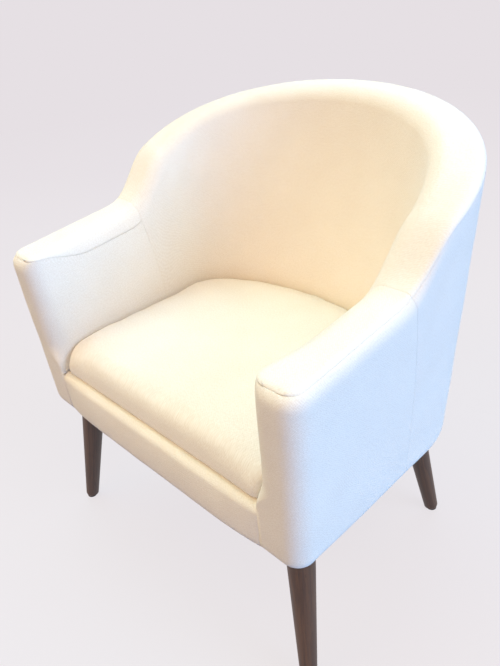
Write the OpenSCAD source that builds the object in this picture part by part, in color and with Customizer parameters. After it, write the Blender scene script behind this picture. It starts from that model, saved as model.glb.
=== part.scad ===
// Upholstered tub chair: a curved back that sweeps down into sloping arms, a loose crowned
// seat cushion, and four splayed tapered legs. Millimetres. The origin is on the floor under
// the middle of the chair, the seat faces -Y, and left and right are as seen from the front.

/* [Overall] */
// Width of the body at elbow height
body_w = 690; // [670:5:710]
// Straight run of each arm in plan, from its front rounding to the curved back
arm_run = 305; // [290:1:318]
// Depth in plan of the curved back
back_run = 254; // [245:1:265]
// Height of the back at its middle
back_h = 803; // [780:1:830]
// Height of an arm at its front
arm_h = 601; // [585:1:615]
// Rise of the arm top from its front to the curved back
arm_rise = 30; // [20:1:40]
// Height of the top edge where the curved back begins
shoulder_h = 711; // [695:1:725]
// Height of the underside of the body
base_h = 268; // [255:1:280]

/* [Top edge] */
// How far ahead of the curved back the top edge starts to sweep up
sweep_ahead = 127; // [115:1:140]
// Run of the sweep from arm to back
sweep_run = 134; // [120:1:150]
// Width of the rounding along the outer top edge
lip_w = 12; // [9:0.5:14]
// Drop of the rounding along the outer top edge
lip_drop = 9; // [7:0.5:12]
// Width of the inner rounding over the back
back_roll_w = 28; // [22:1:32]
// Drop of the inner rounding over the back
back_roll_drop = 26; // [20:1:32]
// Width of the inner rounding over an arm
arm_roll_w = 34; // [28:1:38]
// Drop of the inner rounding over an arm
arm_roll_drop = 34; // [28:1:38]
// Width and drop of the rounding at the front of an arm
nose_r = 9; // [8:0.5:12]

/* [Walls] */
// Thickness of an arm at its top
arm_t = 82; // [80:1:88]
// Thickness of an arm at the cushion
arm_seat_t = 80; // [79:1:86]
// Thickness of the back at its top
back_t = 76; // [74:1:84]
// Thickness of the back at the cushion, where it is padded out
back_seat_t = 116; // [100:1:124]
// Outward lean of the sides, in mm of lean per mm of height
side_lean_share = 0.052;
// Backward lean of the back, in mm of lean per mm of height
back_lean_share = 0.099;
// Forward lean of the arm fronts, in mm of lean per mm of height
front_lean_share = 0.025;
// How much wider the arms stand at the front than at the back
arm_flare = 5; // [3:0.5:8]
// Plan rounding of the arm fronts
corner_r = 32; // [28:1:33]
// Rounding under the body
edge_r = 32; // [28:1:34]
// How far behind the front of the curve the side seams stand, at the top
seam_top_ahead = 92; // [87:1:97]
// How far ahead of the curve the side seams stand, at the seat
seam_low_ahead = 72; // [66:1:80]

/* [Upholstery] */
// Thickness of the cover fabric
cloth_t = 1.5; // [1.2:0.1:1.8]
// Depth from the outer face to the frame
frame_in = 21.4; // [20.5:0.1:22]
// Depth from the top edge down to the frame
top_pad = 21.8; // [20.8:0.1:23]
// Thickness of the felt pad over the springs
deck_pad_t = 15; // [13:0.5:17]
// Thickness of the lining boards
board_t = 3; // [2.5:0.1:3.5]
// How far the covers are turned in under the body
turn_in = 40; // [38:0.5:40.5]

/* [Cushion] */
// Height of the cushion's edge along the walls
cushion_edge_h = 427; // [420:1:436]
// Rise of the crown above the edge
crown = 22; // [12:1:30]
// How far the cushion's front stands behind the arm fronts
cushion_set = 5; // [3:0.5:8]
// Plan rounding of the cushion's front corners
cushion_corner_r = 14; // [11:1:20]
// Depth of the rounding down the cushion's front
waterfall = 24; // [16:1:30]

/* [Frame] */
// Thickness of rails and posts
rail_t = 20; // [18:0.5:20.5]
// Height of the seat rails
rail_h = 70; // [66:1:73]
// Width of the arm frame, across the arm
arm_frame_w = 40.6; // [38:0.2:42]
// Height of the curved top rail
top_rail_h = 45; // [38:1:50]
// Thickness of an arm's top rail
arm_rail_t = 20; // [16:1:24]
// Length of a front corner block along each rail
block_run = 74; // [66:1:84]
// Diameter of the dowels
dowel_d = 8; // [6:1:10]
// Length of the dowels
dowel_run = 36; // [28:1:44]

/* [Springs] */
// Diameter of the spring wire
wire_d = 3.6; // [3.2:0.1:3.8]
// Straight bar of each spring bend
bend_bar = 42; // [36:1:44]
// Wanted distance between spring bars
bend_step = 30; // [28:1:32]
// Place of the inner springs, as a share of the way from the middle to a side rail
inner_spring_share = 0.188; // [0.182:0.001:0.197]
// Place of the outer springs, as a share of the way from the middle to a side rail
outer_spring_share = 0.494; // [0.478:0.001:0.5]

/* [Legs] */
// Diameter of a leg at its top
leg_top_d = 47; // [42:1:49]
// Diameter of a leg at its foot
leg_foot_d = 27; // [23:1:31]
// Distance that a foot stands out from the leg's top, each way
splay = 41; // [34:1:45]
// Depth of the leg's centre from the outer face, at its top
leg_in = 50; // [48.5:0.5:53]
// Place of a back leg, as a share of the way round the curve to the middle of the back
back_leg_share = 0.4125; // [0.396:0.0005:0.436]
// Rounding of the foot
foot_r = 3; // [2:0.5:5]
// Diameter of a floor glide
glide_d = 20; // [17:1:22]
// Thickness of a floor glide
glide_t = 3; // [2:0.5:5]
// Diameter of the bolt that holds a leg
bolt_d = 8; // [6:1:8]
// Length of the bolt inside the leg
bolt_in_leg = 38; // [30:1:45]
// Length of the bolt above the leg
bolt_up = 30; // [26:1:36]
// Outer diameter of the threaded insert
insert_d = 12; // [11:0.5:13]
// Length of the threaded insert
insert_run = 20; // [15:1:24]

/* [Hidden] */
$fn = 48;
// Gap left between layers that lie on each other
gap = 0.3;
// Running clearance round dowels, bolts and nails
fit = 0.05;
// Overrun of cuts
over = 2;
// Clearance between the cushion and the walls
cushion_gap = 1.5;
// Slack between a cover and the pad under it
pad_gap = 1.2;
// Slack between the cushion's cover and its core
core_gap = 2;
// Depth of the hem where the pads end under the rails
under_pad = 6;
// Least rounding left where an inner layer turns a corner
least_r = 1.5;
// Rounding of a pad's frame side where it turns a corner
pad_edge_r = 0.6;
// Thickness of the top pad where it ends on the inner face
pad_lip = 3;
// Length over which the arm's inner rounding grows from the front
roll_grow = 140;
// Width and drop of the arm's inner rounding at its very front
front_roll = 15;
// Height over which the arm's inner front corner sharpens above the deck
corner_fade = 62;
// Thickness of the dust cover
dust_t = 1.2;
// Thickness of the spring clips' steel
clip_t = 1.2;
// Width of a spring clip
clip_w = 18;
// Depth of a spring clip, front to back
clip_run = 12;
// Diameter and length of a glide's nail
nail_d = 2.4;
nail_run = 16;
// Height of the band's rounded top edge
band_nose_r = 13;
// How far the band's cover runs back under the cushion
band_back = 46;
// Height of the block that each leg is bolted into
block_h = 60;
// How far the cushion's edge is drawn in at its bottom
cushion_draw = 5;

half_w = body_w / 2;
mid_s = (half_w + back_run) / 2 * PI / 2;
front_s = -(arm_run + corner_r);
cover_in = cloth_t + pad_gap;
pad_in = frame_in - gap;
frame_out = frame_in + rail_t;
arm_frame_out = frame_in + arm_frame_w;
board_in = gap + board_t + pad_gap;
rail_low = base_h + under_pad + gap;
rail_top = rail_low + rail_h;
wire_z = rail_top + clip_t + gap / 2 + wire_d / 2;
pad_low = wire_z + wire_d / 2 + gap / 2 + clip_t + gap;
deck_low = pad_low + deck_pad_t + gap;
deck_h = deck_low + cloth_t;
panel_low = deck_h + gap;
cushion_low = panel_low + cloth_t + gap;
front_reach = arm_run + corner_r - nose_r * front_lean_share;
back_reach = back_run + (back_h - lip_drop - arm_h) * back_lean_share;
arc_y = (front_reach - back_reach) / 2;
frame_front_s = front_s + frame_in;
front_rail_in_s = frame_front_s + rail_t;
front_leg_s = front_rail_in_s + leg_in - frame_out + insert_d / 2;
back_leg_s = back_leg_share * mid_s;
inner_spring_x = inner_spring_share * (half_w - frame_out);
outer_spring_x = outer_spring_share * (half_w - frame_out);
leg_top_z = base_h - dust_t - gap;
block_low = base_h + gap / 2;

// Shares of the way from a side seam to the start of the curve, below 0, and from there to
// the middle of the back, above 0
back_shares = [-1, -0.76, -0.5, -0.25, 0, 0.03, 0.06, 0.095, 0.13, 0.17, 0.21, 0.25, 0.29,
    0.33, 0.37, 0.41, 0.45, 0.53, 0.61, 0.69, 0.78, 0.87, 0.955, 1];
side_post_shares = [-1, -0.76, -0.5];
rear_post_shares = [0.45, 0.53];
centre_post_shares = [0.955, 1];
back_block_shares = [0.37, 0.41, 0.45, 0.53];
// Shares of the way across the top, from the outer seam to the inner rounding
top_shares = [0, 0.03, 0.09, 0.17, 0.68, 0.84, 0.95, 1];
// Where the underside of a top pad steps down past the lining board, and its two parts
pad_step_share = 0.86;
pad_over_shares = [0, 0.05, 0.15, 0.5, 1];
pad_past_shares = [0, 0.5, 1];
// Shares of the way along an arm, from its front rounding to the side seam
arm_shares = [0.17, 0.35, 0.53, 0.7, 0.84, 0.93, 1];
// Angles of the arm's front corners
corner_turns = [0, 30, 60, 90];
// Shares of the way up a wall, from the deck to the top
wall_shares = [0, 0.25, 0.5, 0.75, 1];
// Share of that way above which the side seams run forward to their top ends
seam_bend_share = 0.5;
// Share of the wall's swell that is still added below the cushion's edge
swell_end_share = 1.2;
// Rows round the foot of a panel, from the underside to the wall
foot_shares = [0, 0.33, 0.67, 1];
// Cushion: heights of the rows up its sides, and how far each is drawn in, at the walls as
// a share of the draw and at the front as a share of the front's rounding
cushion_row_shares = [0, 0.06, 0.2, 0.5, 0.72, 0.87];
cushion_wall_shares = [1, 0.4, 0, 0, 0.3, 0.7];
cushion_front_shares = [0.2, 0.08, 0, 0, 0.1, 0.35];
cushion_top_shares = [0.15, 0.4, 0.65, 0.84, 0.95];
cushion_run_shares = [0.12, 0.28, 0.44, 0.54, 0.63, 0.72, 0.81, 0.91, 1];
// Heights of the front rail's dowels, as shares of its height
dowel_shares = [0.2, 0.5];

// Plain sums and lists
function lerp(a, b, t) = a + (b - a) * t;
function unit(t) = min(1, max(0, t));
function ease(t) = t * t * t * (t * (6 * t - 15) + 10);
function flat(g) = [for (row = g) each row];
function quad(a, b, c, d) = [[a, b, c], [a, c, d]];
function both_sides(g) = concat(g,
    [for (i = [len(g) - 2:-1:0]) [for (p = g[i]) [-p[0], p[1], p[2]]]]);
// Drop of a quarter-ellipse rounding, w wide and h high, at distance t from its edge
function round_drop(t, w, h) = h * (1 - sqrt(1 - pow(1 - unit(t / w), 2)));

// Plan of the body: s runs along the outer face, from the arm's front (below 0) through the
// start of the curve (0) to the middle of the back (mid_s). d is the depth in from that face.
function turn(s) = 90 * max(0, s) / mid_s;
function out_dir(s) = let (v = [back_run * cos(turn(s)), half_w * sin(turn(s))]) v / norm(v);
function rear_share(s) = pow(out_dir(s)[1], 2);
function face(s, d, z) = let (
    n = out_dir(s),
    up = z - arm_h,
    reach = up * lerp(side_lean_share, back_lean_share, rear_share(s)) - d,
    ahead = max(0, -s) / arm_run
) [
    half_w * cos(turn(s)) + arm_flare * ahead + n[0] * reach,
    arc_y + min(0, s) + back_run * sin(turn(s)) + n[1] * reach
        - unit(ahead) * up * front_lean_share,
    z
];

// Height of the top edge
function sweep_share(s) = ease(unit((s + sweep_ahead) / sweep_run));
function top_z(s) = lerp(
    arm_h + arm_rise * (s + arm_run) / arm_run,
    back_h - (back_h - shoulder_h) * pow(1 - s / mid_s, 2),
    sweep_share(s)
);

// Thickness of the wall, and the size of its inner rounding
function wall_t(s, z) = let (
    k = rear_share(s),
    down = (top_z(s) - z) / (top_z(s) - cushion_edge_h)
) lerp(lerp(arm_t, back_t, k), lerp(arm_seat_t, back_seat_t, k),
    max(0, min(swell_end_share, down)));
function roll_size(s, arm, back) = lerp(
    lerp(front_roll, arm, ease(unit((s - front_s) / roll_grow))),
    back,
    ease(unit((s + sweep_ahead) / (2 * sweep_run)))
);
function roll_w(s) = roll_size(s, arm_roll_w, back_roll_w);
function roll_h(s) = roll_size(s, arm_roll_drop, back_roll_drop);

// Edges of the top in plan, which close in round the arm's front corners
function corner_close(s, e) = let (
    r = max(corner_r - e, least_r),
    x = max(0, s - front_s - e)
) x >= r ? 0 : r - sqrt(r * r - (r - x) * (r - x));
function top_out(s, e) = e + corner_close(s, e);
function top_in(s, e) = wall_t(s, top_z(s) - roll_h(s)) - e - corner_close(s, e);

// Height of the top surface at depth d, for the layer e inside the skin
function top_surface(s, e, d) = top_z(s) - e - max(
    round_drop(d - top_out(s, e), max(lip_w - e, least_r), max(lip_drop - e, least_r)),
    round_drop(top_in(s, e) - d, max(roll_w(s) - e, least_r), max(roll_h(s) - e, least_r)),
    round_drop(s - front_s - e, max(nose_r - e, least_r), max(nose_r - e, least_r))
);

// Stations along the body. Those of the back ahead of the curve follow the side seam, which
// shifts with the share f of the way up the wall.
function seam_s(f) = -lerp(seam_low_ahead, seam_top_ahead,
    unit((f - seam_bend_share) / (1 - seam_bend_share)));
function station(t, f) = t < 0 ? -t * seam_s(f) : t * mid_s;
function wall_z(f, high) = lerp(panel_low, high, f);
function arm_station(t) = lerp(front_s + corner_r, -seam_top_ahead - gap, t);
top_stations = [for (t = back_shares) station(t, 1)];
curve_stations = [for (s = top_stations) if (s >= 0) s];
// Stations of an arm's top, for the layer e inside the skin
function arm_top_stations(e) = concat(
    [for (a = corner_turns) front_s + e + (corner_r - e) * (1 - cos(a))],
    [for (t = arm_shares) arm_station(t)]
);

// A closed solid from points and faces, turned the right way out
function six_volume(pts, faces) = let (
    v = [for (f = faces) cross(pts[f[0]], pts[f[1]]) * pts[f[2]]]
) v * [for (x = v) 1];
module solid(pts, faces) {
    inside_out = six_volume(pts, faces) > 0;
    polyhedron(pts, inside_out ? [for (f = faces) [f[0], f[2], f[1]]] : faces, convexity = 8);
}

// A sheet of any thickness between two grids of points of the same size. From column
// cut_from on, the rows below cut_rows are left out.
module slab(a, b, cut_from = -1, cut_rows = 0) {
    m = len(a);
    n = len(a[0]);
    k = m * n;
    first = [for (i = [0:m - 2]) cut_rows > 0 && i >= cut_from ? cut_rows : 0];
    function kept(i, j) = i >= 0 && i < m - 1 && j >= first[i] && j < n - 1;
    function rim(p, q) = quad(q, p, k + p, k + q);
    solid(concat(flat(a), flat(b)), concat(
        [for (i = [0:m - 2], j = [first[i]:n - 2])
            each quad(i * n + j, i * n + j + 1, (i + 1) * n + j + 1, (i + 1) * n + j)],
        [for (i = [0:m - 2], j = [first[i]:n - 2]) each quad(
            k + i * n + j, k + (i + 1) * n + j, k + (i + 1) * n + j + 1, k + i * n + j + 1)],
        [for (i = [0:m - 2], j = [first[i]:n - 2]) if (!kept(i - 1, j))
            each rim(i * n + j, i * n + j + 1)],
        [for (i = [0:m - 2], j = [first[i]:n - 2]) if (!kept(i + 1, j))
            each rim((i + 1) * n + j + 1, (i + 1) * n + j)],
        [for (i = [0:m - 2]) each rim((i + 1) * n + first[i], i * n + first[i])],
        [for (i = [0:m - 2]) each rim((i + 1) * n - 1, (i + 2) * n - 1)]
    ));
}

// A solid through closed rings of points, closed by a fan at each end
module loft(rings) {
    m = len(rings);
    n = len(rings[0]);
    ends = [for (ring = [rings[0], rings[m - 1]]) [for (p = ring) 1] * ring / n];
    solid(concat(flat(rings), ends), concat(
        [for (i = [0:m - 2], j = [0:n - 1]) each quad(
            i * n + j, i * n + (j + 1) % n, (i + 1) * n + (j + 1) % n, (i + 1) * n + j)],
        [for (j = [0:n - 1]) [m * n, (j + 1) % n, j]],
        [for (j = [0:n - 1]) [m * n + 1, (m - 1) * n + j, (m - 1) * n + (j + 1) % n]]
    ));
}

// One face of a bar: its stations are ss, its depth is d, and it runs up in equal steps
function bar_face(ss, d, low, high, steps) = [for (i = [0:len(ss) - 1])
    [for (j = [0:steps]) face(ss[i], d, lerp(low[i], high[i], j / steps))]];
function level(ss, z) = [for (s = ss) z];
function under_top(ss, drop) = [for (s = ss) top_z(s) - drop];

module bar(ss, d0, d1, low, high, steps = 1) {
    slab(bar_face(ss, d0, low, high, steps), bar_face(ss, d1, low, high, steps));
}

module curved_bar(ss, d0, d1, low, high, steps = 1) {
    slab(both_sides(bar_face(ss, d0, low, high, steps)),
        both_sides(bar_face(ss, d1, low, high, steps)));
}

module right_side() children();
module left_side() mirror([1, 0, 0]) children();

// Rows of a panel's foot as depth and height: round under the body on the cover's side, flat
// under the rail and then up its face on the frame's side
function foot_row(t, e) = [
    edge_r - (edge_r - e) * sin(90 * t),
    base_h + edge_r - (edge_r - e) * cos(90 * t)
];
function hem_row(t) = [
    t == 0 ? edge_r : pad_in,
    base_h + lerp(under_pad, edge_r, unit((t - foot_shares[1]) / (1 - foot_shares[1])))
];
function foot_rows(e, near_frame) = [for (t = foot_shares)
    near_frame ? hem_row(t) : foot_row(t, e)];

// Back panels and pads: a column of rows stands at each station
function pad_drop(s) = max(top_pad, roll_h(s) + pad_lip);
function outside_column(t, rows, d, high) = concat(
    [for (r = rows) face(station(t, 0), r[0], r[1])],
    [for (f = wall_shares) face(station(t, f), d, wall_z(f, high))]
);
function outside_cover_half(e) = [for (t = back_shares) outside_column(
    t, concat([[turn_in, base_h + e]], foot_rows(e, false)), e,
    top_z(station(t, 1)) - lip_drop - gap)];
function outside_pad_half(near_frame) = [for (t = back_shares) outside_column(
    t, foot_rows(cover_in, near_frame), near_frame ? pad_in : cover_in,
    top_z(station(t, 1)) - top_pad - gap)];
function top_row(s, e) = [for (f = top_shares) let (d = lerp(top_out(s, e), top_in(s, e), f))
    face(s, d, top_surface(s, e, d))];
function inside_cover_half(e) = [for (t = back_shares) let (
    s = station(t, 1),
    high = top_z(s) - roll_h(s)
) concat(
    top_row(s, e),
    [for (i = [len(wall_shares) - 2:-1:0]) let (
        f = wall_shares[i],
        z = wall_z(f, high),
        q = station(t, f)
    ) face(q, wall_t(q, z) - e, z)]
)];
function inside_foam_half(near_frame) = [for (t = back_shares) let (
    s = station(t, 1),
    high = top_z(s) - pad_drop(s) - pad_gap - gap
) [for (f = wall_shares) let (z = wall_z(f, high), q = station(t, f))
    face(q, near_frame ? frame_out + board_in : wall_t(q, z) - cover_in, z)]];
// Underside of a top pad: level over the frame, and lower past the board at depth past
function pad_under_row(s, past) = let (
    out = top_out(s, cover_in),
    reach = top_in(s, cover_in),
    step = min(past, lerp(out, reach, pad_step_share))
) concat(
    [for (f = pad_over_shares) face(s, lerp(out, step, f), top_z(s) - top_pad)],
    [for (f = pad_past_shares) face(s, lerp(step + gap, reach, f), top_z(s) - pad_drop(s))]
);

module inside_back_cover() {
    color("antiquewhite")
        slab(both_sides(inside_cover_half(0)), both_sides(inside_cover_half(cloth_t)));
}

module outside_back_cover() {
    color("ghostwhite")
        slab(both_sides(outside_cover_half(0)), both_sides(outside_cover_half(cloth_t)));
}

module outside_back_padding() {
    color("white") slab(both_sides(outside_pad_half(false)), both_sides(outside_pad_half(true)));
}

module inside_back_foam() {
    color("khaki") slab(both_sides(inside_foam_half(true)), both_sides(inside_foam_half(false)));
}

module back_top_pad() {
    color("khaki") slab(
        both_sides([for (s = top_stations) top_row(s, cover_in)]),
        both_sides([for (s = top_stations) pad_under_row(s, frame_out + board_in)])
    );
}

// Arm panels and pads. Columns stand round the outer wall, its front corner, the inner
// corner and the inner wall. The inner ones have rows from the deck up only.
arm_columns = concat(
    [for (i = [len(arm_shares) - 1:-1:0]) ["outer", arm_shares[i]]],
    [for (a = corner_turns) ["outer corner", a]],
    [for (a = corner_turns) ["inner corner", a]],
    [for (t = arm_shares) ["inner", t]]
);
inner_from = len(arm_shares) + len(corner_turns);
function in_corner_r(z) = lerp(2 * least_r, corner_r, ease(unit((z - panel_low) / corner_fade)));
// Plan point of an arm column: inset e, corner roundings r and q, depth of the inner wall
function arm_point(c, e, r, q, deep, f) = let (v = c[1])
    c[0] == "outer" ? [lerp(front_s + e + r, seam_s(f) - gap, v), e]
    : c[0] == "outer corner" ? [front_s + e + r * (1 - sin(v)), e + r * (1 - cos(v))]
    : c[0] == "inner corner" ? [front_s + e + q * (1 - cos(v)), deep - q * (1 - sin(v))]
    : [lerp(front_s + e + q, seam_s(f) - gap, v), deep];
function is_outer(c) = c[0] == "outer" || c[0] == "outer corner";
// One column of an arm panel or pad: rows of its foot, then rows up the wall to its top
function arm_column(c, e, rows, high, near_frame) = let (
    layer = near_frame ? cover_in : e,
    inset = near_frame ? pad_in : e
) concat(
    [for (row = rows) let (
        r = near_frame ? pad_edge_r : max(corner_r - row[0], least_r),
        q = max(2 * least_r - layer, least_r),
        deep = wall_t(front_s, row[1]) - layer,
        p = arm_point(c, row[0], r, q, deep, 0)
    ) face(p[0], p[1], row[1])],
    [for (f = wall_shares) let (
        z = wall_z(f, high),
        r = near_frame ? pad_edge_r : max(corner_r - e, least_r),
        q = near_frame ? pad_edge_r : max(in_corner_r(z) - e, least_r),
        s = arm_point(c, inset, r, q, 0, f)[0],
        deep = near_frame ? arm_frame_out + board_in : wall_t(s, z) - e,
        p = arm_point(c, inset, r, q, deep, f)
    ) face(p[0], p[1], z)]
);
function arm_cover_column(c, e) = let (
    r = corner_r - e,
    s = arm_point(c, e, r, r, 0, 1)[0],
    edge = is_outer(c) ? top_out(s, e) : top_in(s, e)
) arm_column(c, e, concat([[turn_in, base_h + e]], foot_rows(e, false)),
    top_surface(s, e, edge) - gap, false);
function arm_foam_column(c, near_frame) = let (
    r = near_frame ? pad_edge_r : corner_r - cover_in,
    s = arm_point(c, near_frame ? pad_in : cover_in, r, r, 0, 1)[0],
    drop = c[0] == "inner" ? pad_drop(s) + pad_gap : top_pad
) arm_column(c, cover_in, foot_rows(cover_in, near_frame), top_z(s) - drop - gap, near_frame);

module arm_cover() {
    color("ghostwhite") slab(
        [for (c = arm_columns) arm_cover_column(c, 0)],
        [for (c = arm_columns) arm_cover_column(c, cloth_t)],
        inner_from, len(foot_shares) + 1
    );
}

module arm_cap() {
    color("floralwhite") slab(
        [for (s = arm_top_stations(0)) top_row(s, 0)],
        [for (s = arm_top_stations(cloth_t)) top_row(s, cloth_t)]
    );
}

module arm_foam() {
    color("khaki") slab(
        [for (c = arm_columns) arm_foam_column(c, false)],
        [for (c = arm_columns) arm_foam_column(c, true)],
        inner_from, len(foot_shares)
    );
}

module arm_top_pad() {
    color("khaki") slab(
        [for (s = arm_top_stations(cover_in)) top_row(s, cover_in)],
        [for (s = arm_top_stations(cover_in)) pad_under_row(s, arm_frame_out + board_in)]
    );
}

// Front band: rows run from the underside, up the face and back over its top edge
nose_shares = [0, 0.25, 0.5, 0.75, 1];
function nose_rows(e) = concat(
    [for (t = nose_shares) [
        band_nose_r - (band_nose_r - e) * cos(90 * t),
        deck_h - band_nose_r + (band_nose_r - e) * sin(90 * t)
    ]],
    [[band_back, deck_h - e]]
);
function band_cover_rows(e) = concat(
    [[turn_in, base_h + e]], foot_rows(e, false), nose_rows(e));
function band_under_rows() = concat(
    foot_rows(cover_in, true),
    [for (i = [0:len(nose_shares)]) [lerp(pad_in, band_back, i / len(nose_shares)), pad_low]]
);
function band_end(s, z) = face(s, wall_t(front_s, z) - 2 * least_r, z)[0] - gap;
function band_grid(rows) = [for (side = [-1, -0.5, 0, 0.5, 1]) [for (r = rows) let (
    s = front_s + r[0]
) [side * band_end(s, r[1]), face(s, 0, r[1])[1], r[1]]]];

module front_band_cover() {
    color("antiquewhite")
        slab(band_grid(band_cover_rows(0)), band_grid(band_cover_rows(cloth_t)));
}

module front_band_padding() {
    color("khaki") slab(
        band_grid(concat(foot_rows(cover_in, false), nose_rows(cover_in))),
        band_grid(band_under_rows())
    );
}

// Flat pieces cut to the wall's plan
function half_outline(d, z, start) = [for (s = concat([start], curve_stations))
    [for (p = [face(s, d, z)]) each [p[0], p[1]]]];
module plan_sheet(d, z, start, thick) {
    half = half_outline(d, z, start);
    translate([0, 0, z]) linear_extrude(thick) polygon(concat(
        half,
        [for (i = [len(half) - 2:-1:0]) [-half[i][0], half[i][1]]]
    ));
}

module seat_deck_cloth() {
    color("gainsboro")
        plan_sheet(frame_out + 2 * gap, deck_low, front_s + band_back + gap, cloth_t);
}

module seat_felt_pad() {
    color("darkgray")
        plan_sheet(frame_out + 2 * gap, pad_low, front_s + band_back + gap, deck_pad_t);
}

module dust_cover() {
    color("dimgray") difference() {
        plan_sheet(edge_r + gap, base_h - dust_t - gap / 2, front_s + edge_r + gap, dust_t);
        each_leg() cylinder(h = 2 * bolt_up, d = insert_d, center = true);
    }
}

// Cushion: rings that follow the walls, drawn in at the bottom and crowned on top
function cushion_ring(in, z, front_in) = let (
    r = cushion_corner_r,
    s0 = front_s + cushion_set + front_in,
    corner = [for (a = corner_turns) let (s = s0 + r * (1 - cos(a)))
        face(s, wall_t(s, z) + cushion_gap + in + r * (1 - sin(a)), z)],
    side = [for (t = cushion_run_shares) let (s = lerp(s0 + r, mid_s, t))
        face(s, wall_t(s, z) + cushion_gap + in, z)],
    half = concat(
        [for (t = [0, 0.5]) [t * corner[0][0], corner[0][1], z]],
        corner,
        side
    )
) concat(half, [for (i = [len(half) - 2:-1:1]) [-half[i][0], half[i][1], z]]);
// Rings above the edge shrink towards the middle as the crown rises
function crown_ring(share, e) = let (
    ring = cushion_ring(0, cushion_edge_h, waterfall),
    t = share - e / (half_w - arm_seat_t),
    z = cushion_edge_h - e + crown * (1 - t * t),
    mid_y = (ring[0][1] + face(mid_s, back_seat_t, z)[1]) / 2
) [for (p = ring) [p[0] * t, lerp(mid_y, p[1], t), z]];
function cushion_row(i, e) = cushion_ring(
    cushion_draw * cushion_wall_shares[i] + e,
    lerp(cushion_low, cushion_edge_h, cushion_row_shares[i]),
    waterfall * cushion_front_shares[i] + e
);
function cushion_rings(e) = concat(
    [for (t = cushion_top_shares) crown_ring(t, e)],
    [for (i = [len(cushion_row_shares) - 1:-1:0]) cushion_row(i, e)]
);

module cushion_cover() {
    inner = cushion_rings(cloth_t);
    color("lemonchiffon") loft(concat(
        cushion_rings(0),
        [for (i = [len(inner) - 1:-1:0]) inner[i]]
    ));
}

module cushion_core() {
    color("khaki") loft(cushion_rings(cloth_t + core_gap));
}

module cushion_base() {
    color("beige") translate([0, 0, panel_low]) linear_extrude(cloth_t)
        polygon([for (p = cushion_row(0, 0)) [p[0], p[1]]]);
}

// Seat rails, posts and boards. Those on the curve share its stations with the pads.
module side_rail() {
    ss = [frame_front_s, -gap];
    color("burlywood") difference() {
        bar(ss, frame_in, frame_out, level(ss, rail_low), level(ss, rail_top));
        rail_dowels(dowel_d + 2 * fit);
        post_dowels(dowel_d + 2 * fit);
    }
}

module back_seat_rail() {
    ss = curve_stations;
    color("burlywood") difference() {
        curved_bar(ss, frame_in, frame_out, level(ss, rail_low), level(ss, rail_top));
        all_dowels(dowel_d + 2 * fit);
    }
}

// The front rail stands between the side rails, and its ends follow their inner faces
module front_seat_rail() {
    function end(side, s, z) = let (p = face(s, frame_out + gap, z)) [side * p[0], p[1], z];
    function rail_face(s) = [for (side = [-1, 1]) [for (z = [rail_low, rail_top])
        end(side, s, z)]];
    color("burlywood") difference() {
        slab(rail_face(frame_front_s), rail_face(front_rail_in_s));
        all_dowels(dowel_d + 2 * fit);
    }
}

module front_post() {
    ss = [frame_front_s, front_rail_in_s];
    color("burlywood") difference() {
        bar(ss, frame_in, arm_frame_out, level(ss, rail_top + gap),
            under_top(ss, top_pad + arm_rail_t + 2 * gap));
        post_dowels(dowel_d + 2 * fit);
    }
}

module back_post(shares) {
    ss = [for (t = shares) station(t, 1)];
    color("burlywood") difference() {
        bar(ss, frame_in, frame_out, level(ss, rail_top + gap),
            under_top(ss, top_pad + top_rail_h + 2 * gap), 4);
        post_dowels(dowel_d + 2 * fit);
    }
}

module centre_back_post() {
    ss = [for (t = centre_post_shares) station(t, 1)];
    color("burlywood") difference() {
        curved_bar(ss, frame_in, frame_out, level(ss, rail_top + gap),
            under_top(ss, top_pad + top_rail_h + 2 * gap));
        all_dowels(dowel_d + 2 * fit);
    }
}

arm_frame_stations = concat([frame_front_s, arm_station(0)], [for (t = arm_shares) arm_station(t)]);
module arm_rail() {
    ss = arm_frame_stations;
    color("burlywood") bar(ss, frame_in, arm_frame_out,
        under_top(ss, top_pad + arm_rail_t + gap), under_top(ss, top_pad + gap));
}

module top_back_rail() {
    ss = top_stations;
    color("burlywood") curved_bar(ss, frame_in, frame_out,
        under_top(ss, top_pad + top_rail_h + gap), under_top(ss, top_pad + 2 * gap));
}

module arm_board() {
    ss = arm_frame_stations;
    color("peru") bar(ss, arm_frame_out + gap, arm_frame_out + gap + board_t,
        level(ss, panel_low), under_top(ss, top_pad + gap));
}

module inside_back_board() {
    ss = top_stations;
    color("peru") curved_bar(ss, frame_out + gap, frame_out + gap + board_t,
        level(ss, panel_low), under_top(ss, top_pad + gap), 2);
}

// Dowels: one in the foot of each post, and two in each end of the front rail
module dowel(d) {
    cylinder(h = dowel_run, d = d, center = true);
}

module post_dowel(s, d, depth) {
    at = face(s, depth, rail_top);
    translate([at[0], at[1], rail_top + gap / 2]) dowel(d);
}

module rail_dowels(d) {
    for (share = dowel_shares) {
        z = rail_low + share * rail_h;
        at = face((frame_front_s + front_rail_in_s) / 2, frame_out, z);
        translate([at[0] - rail_t / 4, at[1], z]) rotate([0, 90, 0]) dowel(d);
    }
}

module post_dowels(d) {
    post_dowel((frame_front_s + front_rail_in_s) / 2 + rail_t / 4, d,
        frame_out - rail_t / 2);
    for (shares = [side_post_shares, rear_post_shares]) {
        s = (station(shares[0], 1) + station(shares[len(shares) - 1], 1)) / 2;
        post_dowel(s, d, (frame_in + frame_out) / 2);
    }
}

module all_dowels(d) {
    right_side() {
        rail_dowels(d);
        post_dowels(d);
    }
    left_side() {
        rail_dowels(d);
        post_dowels(d);
    }
    post_dowel(mid_s, d, (frame_in + frame_out) / 2);
}

module frame_dowels() {
    color("tan") all_dowels(dowel_d);
}

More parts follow.
